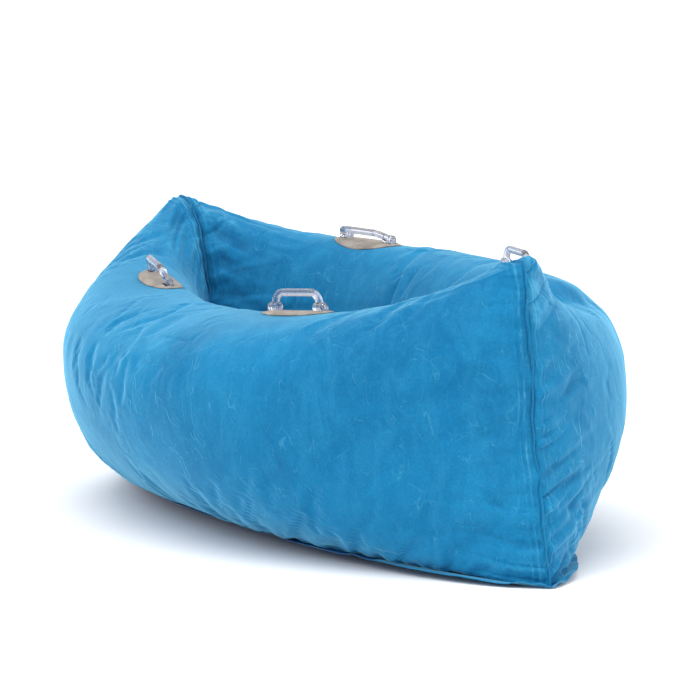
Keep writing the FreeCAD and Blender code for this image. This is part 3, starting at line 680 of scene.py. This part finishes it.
def patch_material():
    """Tan vinyl of the handle patches, scuffed and slightly glossy."""
    material, tree, shader = new_material("tan_patch")
    coords = node(tree, "ShaderNodeTexCoord").outputs["Object"]
    clouds = spread(tree, noise(tree, coords, 38.0, 4.0, 0.6, 0.8), 0.3, 0.7)
    base = blend_colour(tree, clouds, (0.20, 0.175, 0.150, 1), (0.33, 0.295, 0.255, 1))
    tree.links.new(base, shader.inputs["Base Color"])
    tree.links.new(spread(tree, clouds, 0, 1, 0.42, 0.6), shader.inputs["Roughness"])
    bump = node(tree, "ShaderNodeBump", Strength=0.5, Distance=0.0012)
    tree.links.new(noise(tree, coords, 90.0, 4.0, 0.6), bump.inputs["Height"])
    tree.links.new(bump.outputs["Normal"], shader.inputs["Normal"])
    return material


def floor_material():
    material, tree, shader = new_material("pale_floor")
    coords = node(tree, "ShaderNodeTexCoord").outputs["Object"]
    tone = spread(tree, noise(tree, coords, 3.0), 0.2, 0.8, 0.90, 0.94)
    colour = node(tree, "ShaderNodeCombineColor")
    for channel in ("Red", "Green", "Blue"):
        tree.links.new(tone, colour.inputs[channel])
    tree.links.new(colour.outputs["Color"], shader.inputs["Base Color"])
    shader.inputs["Roughness"].default_value = 0.9
    shader.inputs["Specular IOR Level"].default_value = 0.1
    return material


flock = flock_material()
film = film_material()
clear = clear_material()
tan = patch_material()


def dress(item, material, stands_for):
    """Material and body of a new piece, and the CAD nodes it stands for."""
    item.data.materials.clear()
    item.data.materials.append(material)
    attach(item, "chair")
    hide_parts(*[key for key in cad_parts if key.startswith(stands_for)])


# ------------------------------------------------------------------ walls
COLUMNS = 560
ROWS = 280
WELL_WELD = 1.62
SKIN_THICK = 0.0010

for side, name in ((PORT, "port"), (STARBOARD, "starboard")):
    thetas = even_thetas(side, COLUMNS, 4)
    outer = skin_sheet(name + "_wall_skin", side, thetas, even_turns(0, WELL_WELD, ROWS))
    dress(outer, flock, stands_for=name + "_outer_panel")
    inner = skin_sheet(name + "_well_skin", side, thetas, even_turns(WELL_WELD, 2, ROWS // 3))
    dress(inner, flock, stands_for=name + "_well_panel")


# ------------------------------------------------------------------ seams at bow and stern
def seam_strip(name, theta):
    """Lip of the two welded films: a thin wavy strip that follows the crease."""
    turns = even_turns(0.0, 2.0, 420)
    thetas = np.full(turns.shape, theta)
    points = wall(PORT, thetas, turns)
    step = 0.004
    around = wall(PORT, thetas, np.minimum(turns + step, 2)) - wall(PORT, thetas, np.maximum(turns - step, 0))
    out = np.stack([around[:, 2], np.zeros(len(turns)), -around[:, 0]], -1)
    out *= np.sign(math.cos(theta))
    out /= np.linalg.norm(out, axis=1, keepdims=True)
    along = np.concatenate([[0], np.cumsum(np.linalg.norm(np.diff(points, axis=0), axis=1))])
    line = np.stack([along, np.zeros(len(along)), np.zeros(len(along))], -1)
    proud = 0.0012 + 0.0010 * smooth_noise(line, 0.03, 5)
    sway = seam_drift(points[:, 2]) + 0.0007 * smooth_noise(line, 0.012, 9)
    lean = 0.0012 * smooth_noise(line, 0.05, 15)
    layers = []
    for height, half in ((-0.012, 0.0006), (-0.004, 0.0007), (0.0, 0.0008), (1.0, 0.0006)):
        for hand in (-1, 1):
            rise = np.where(height > 0.5, proud, height)
            ring = points + out * rise[:, None]
            ring[:, 1] = sway + hand * half + lean * (height > -0.001)
            layers.append(ring)
    order = [0, 2, 4, 6, 7, 5, 3, 1]
    ring_count = len(order)
    grid = np.stack([layers[k] for k in order], 1).reshape(-1, 3)
    faces = []
    for r in range(len(turns) - 1):
        for k in range(ring_count):
            a = r * ring_count + k
            b = r * ring_count + (k + 1) % ring_count
            faces.append([a, b, b + ring_count, a + ring_count])
    faces.append([k for k in range(ring_count)][::-1])
    faces.append([(len(turns) - 1) * ring_count + k for k in range(ring_count)])
    item = mesh_object(name, grid, faces)
    bm = bmesh.new()
    bm.from_mesh(item.data)
    bmesh.ops.recalc_face_normals(bm, faces=bm.faces)
    bm.to_mesh(item.data)
    bm.free()
    return item


for name, theta in (("bow_seam_lip", 0.0), ("stern_seam_lip", math.pi)):
    lip = seam_strip(name, theta)
    dress(lip, flock, stands_for=name.replace("_lip", "_tape"))


# ------------------------------------------------------------------ base and well floor
# Flange faces nearer the middle than this take the dark base film as painted shade under the bulge; beyond it
# they are flocked.
FLANGE_PAINTED_SHADE_REACH = 0.48


def base_sheet():
    """Base film: flat on the floor, curved up to the weld, with a ruffled flange."""
    count = 560
    angle = np.linspace(0, 2 * math.pi, count, endpoint=False)
    c = np.cos(angle)
    side = np.sign(np.sin(angle) + 1e-12)
    width = plan_width(c)
    rim = np.stack([BASE_HALF_LENGTH * c, side * BASE_HALF_WIDTH * width], -1)
    ahead = np.roll(rim, -1, 0) - np.roll(rim, 1, 0)
    out = np.stack([ahead[:, 1], -ahead[:, 0]], -1)
    out /= np.maximum(np.linalg.norm(out, axis=1, keepdims=True), 1e-9)
    lift = base_lift(c)
    line = np.concatenate([rim, np.zeros((count, 1))], 1)
    ruffle = smooth_noise(line, 0.055, 3) + 0.6 * smooth_noise(line, 0.024, 4)
    toe = np.exp(-((np.abs(c) - 1) / 0.05) ** 2)
    rings = []
    for share in (0.0, 0.25, 0.5, 0.7, 0.82, 0.90, 0.95, 0.98, 1.0):
        up = lift * ramp(np.array([share]), 0.62, 1.02)[0]
        rings.append(np.concatenate([rim * share, up[:, None] + 0.0002], 1))
    for reach, wave in ((0.004, 0.2), (0.009, 0.5), (0.014, 0.8), (0.019, 1.0), (0.021, 1.05)):
        curl = 0.0012 + 0.0036 * np.maximum(ruffle, -0.25) + 0.012 * toe * (0.5 + ruffle)
        up = lift + 0.0004 + wave * curl
        up = np.maximum(up, 0.0006)
        shift = out * (reach * (0.92 + 0.08 * ruffle) * (1 - 0.45 * toe))[:, None]
        rings.append(np.concatenate([rim + shift, up[:, None]], 1))
    top = np.concatenate(rings[1:])
    centre = np.array([[0, 0, 0.0002]])
    points = np.concatenate([centre, top])
    faces = []
    for k in range(count):
        faces.append([0, 1 + k, 1 + (k + 1) % count])
    for ring in range(len(rings) - 2):
        for k in range(count):
            a = 1 + ring * count + k
            b = 1 + ring * count + (k + 1) % count
            faces.append([a, a + count, b + count, b])
    item = mesh_object("base_sheet", points, faces)
    item["flange_from"] = 8 * count
    thick = item.modifiers.new("thick", "SOLIDIFY")
    thick.thickness = BASE_THICK
    thick.offset = 1
    return item


base = base_sheet()
dress(base, film, stands_for="base_panel")
base.data.materials.append(flock)
# painted shade: the middle of the flange, in the bulge's shadow, gets the dark base film instead of flock
for face in base.data.polygons:
    on_flange = face.index >= base["flange_from"]
    face.material_index = 1 if on_flange and abs(face.center.x) > FLANGE_PAINTED_SHADE_REACH else 0


def well_floor():
    """Floor of the well: a padded cushion, crowned, with three soft channels."""
    count_x, count_y = 220, 90
    u = np.linspace(-1, 1, count_x)
    v = np.linspace(-1, 1, count_y)
    uu, vv = (a.ravel() for a in np.meshgrid(u, v, indexing="ij"))
    c = np.sin(uu * math.pi / 2)
    x = FLOOR_HALF_LENGTH * c * 0.997
    y = FLOOR_HALF_WIDTH * plan_width(c) * vv * 0.993
    edge = (1 - np.abs(vv) ** 3) * plan_width(c)
    lanes = sum(bell(y, lane, 0.012) for lane in (-0.088, 0.0, 0.088))
    points = np.stack([x, y, np.zeros_like(x)], -1)
    z = FLOOR_HEIGHT + 0.010 * edge - 0.008 * lanes * edge * (1 - ramp(np.abs(x), 0.24, 0.34))
    z += 0.0012 * smooth_noise(points, 0.06, 88) * edge
    points[:, 2] = z - 0.0006
    item = mesh_object("well_floor_pad", points, grid_faces(count_x, count_y))
    thick = item.modifiers.new("thick", "SOLIDIFY")
    thick.thickness = SKIN_THICK
    return item


pad = well_floor()
dress(pad, flock, stands_for="well_floor_panel")

# ------------------------------------------------------------------ CAD pieces that stay
for name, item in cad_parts.items():
    if item.hide_render:
        continue
    if name.endswith("_patch"):
        material = tan
    elif name.endswith(("_web", "valve_ring")):
        material = film
    else:
        material = clear
    item.data.materials.clear()
    item.data.materials.append(material)


# ------------------------------------------------------------------ floor, light, camera
bpy.ops.mesh.primitive_plane_add(size=90, location=(0, 0, 0))
ground = bpy.context.object
ground.name = "studio_floor"
ground.data.materials.append(floor_material())

world = bpy.data.worlds.new("studio")
bpy.context.scene.world = world
world.use_nodes = True
world.node_tree.nodes["Background"].inputs["Color"].default_value = (1.0, 1.0, 1.0, 1)
world.node_tree.nodes["Background"].inputs["Strength"].default_value = 0.80
bpy.context.scene.view_settings.view_transform = "Standard"


def soft_sun(name, toward, energy, width):
    """A broad soft light that comes from the given direction."""
    light = bpy.data.lights.new(name, "SUN")
    light.energy = energy
    light.angle = math.radians(width)
    item = bpy.data.objects.new(name, light)
    bpy.context.scene.collection.objects.link(item)
    item.rotation_euler = Vector(toward).to_track_quat("Z", "Y").to_euler()
    return item


CAMERA_AZIMUTH = math.radians(63.3)
CAMERA_ELEVATION = math.radians(7.35)
CAMERA_DISTANCE = 6.777
CAMERA_TARGET = Vector((0.0, 0.0, 0.28))
CAMERA_LENS = 207.2
CAMERA_SHIFT = (0.0219, 0.0030)

toward = Vector(
    (
        math.sin(CAMERA_AZIMUTH) * math.cos(CAMERA_ELEVATION),
        -math.cos(CAMERA_AZIMUTH) * math.cos(CAMERA_ELEVATION),
        math.sin(CAMERA_ELEVATION),
    )
)
right = Vector((math.cos(CAMERA_AZIMUTH), math.sin(CAMERA_AZIMUTH), 0))

soft_sun("key", toward * 0.6 - right * 0.9 + Vector((0, 0, 0.9)), 1.2, 45)
soft_sun("fill", toward * 0.3 + right + Vector((0, 0, 0.7)), 1.0, 60)
soft_sun("top", Vector((0, 0, 1)) + toward * 0.15 - right * 0.1, 1.5, 45)

camera = bpy.data.cameras.new("camera")
camera.sensor_width = 36.0
camera.lens = CAMERA_LENS
camera_object = bpy.data.objects.new("camera", camera)
bpy.context.scene.collection.objects.link(camera_object)
camera_object.location = CAMERA_TARGET + toward * CAMERA_DISTANCE
camera_object.rotation_euler = (-toward).to_track_quat("-Z", "Y").to_euler()
camera.shift_x, camera.shift_y = CAMERA_SHIFT
camera.clip_end = 60
bpy.context.scene.camera = camera_object

bpy.context.view_layer.update()
